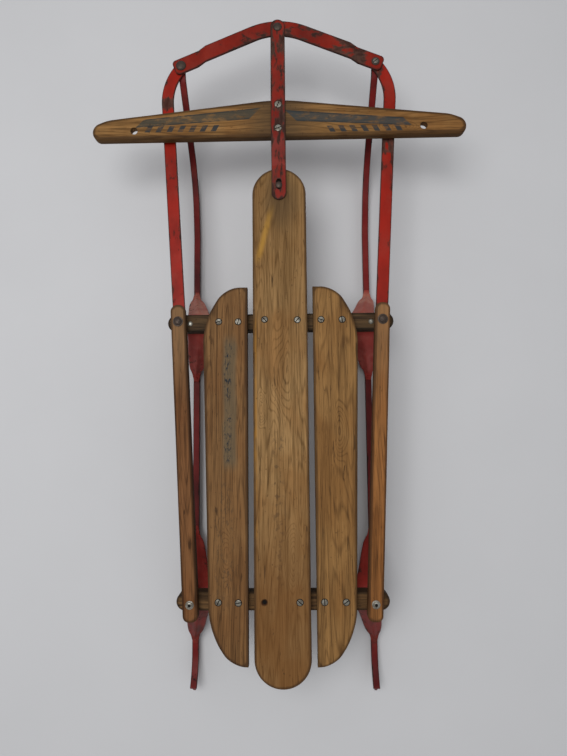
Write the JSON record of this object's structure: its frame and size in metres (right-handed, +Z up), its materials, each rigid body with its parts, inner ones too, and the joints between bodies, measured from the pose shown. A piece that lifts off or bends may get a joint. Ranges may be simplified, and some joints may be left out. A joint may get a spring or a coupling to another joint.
{
  "type": "steerable runner sled",
  "caption": "Child's snow sled: slatted wooden deck on sprung steel runners, with a bowed bumper, swinging side bars and a wooden steering bar that turn together.",
  "frame": {"origin": "middle of the sled's footprint, on the snow under the runners", "axes": "+Y forward to the bumper, +X to the rider's right, +Z up"},
  "size_m": [0.641, 1.1856, 0.1553],
  "materials": {
    "deck_wood": "worn varnish, weathered grain",
    "bunk_wood": "dark weathered wood",
    "red_steel": "worn red paint with rust",
    "bare_steel": "dull weathered steel"
  },
  "bodies": {
    "frame": {"centre_slat": "deck_wood", "left_side_slat": "deck_wood", "right_side_slat": "deck_wood", "front_bunk": "bunk_wood", "rear_bunk": "bunk_wood", "left_side_rail": "deck_wood", "right_side_rail": "deck_wood", "left_front_standard": "red_steel", "right_front_standard": "red_steel", "left_rear_standard": "red_steel", "right_rear_standard": "red_steel", "left_runner": "red_steel", "right_runner": "red_steel", "rail_bolts": "bare_steel", "steering_pin": "bare_steel"},
    "left_bar": {"left_side_bar": "red_steel"},
    "right_bar": {"right_side_bar": "red_steel"},
    "bumper": {"bumper": "red_steel", "bumper_rivets": "bare_steel"},
    "steering": {"steering_strap": "red_steel", "steering_handle": "deck_wood"}
  },
  "joints": [
    {"name": "steering_turn", "type": "hinge", "parent": "bumper", "child": "steering", "pos_m": [0, 0.57881, 0.1418], "axis": [0, 0, 1], "range_deg": [-10, 10], "stiffness_Nm_per_rad": 60, "deforming": ["left_runner", "right_runner"]},
    {"name": "left_bar_swing", "type": "hinge", "parent": "frame", "child": "left_bar", "pos_m": [-0.1715, 0.05681, 0.1283], "axis": [0, 0, 1], "range_deg": [-6.5, 6.5]},
    {"name": "right_bar_swing", "type": "hinge", "parent": "frame", "child": "right_bar", "pos_m": [0.1715, 0.05681, 0.1283], "axis": [0, 0, 1], "range_deg": [-6.5, 6.5]},
    {"name": "bumper_pivot", "type": "hinge", "parent": "left_bar", "child": "bumper", "pos_m": [-0.1715, 0.51681, 0.1326], "axis": [0, 0, 1], "range_deg": [-6.5, 6.5]}
  ],
  "couplings": [
    {"joint": "left_bar_swing", "follows": "steering_turn", "ratio": 0.625},
    {"joint": "right_bar_swing", "follows": "steering_turn", "ratio": 0.625},
    {"joint": "bumper_pivot", "follows": "steering_turn", "ratio": -0.625}
  ]
}
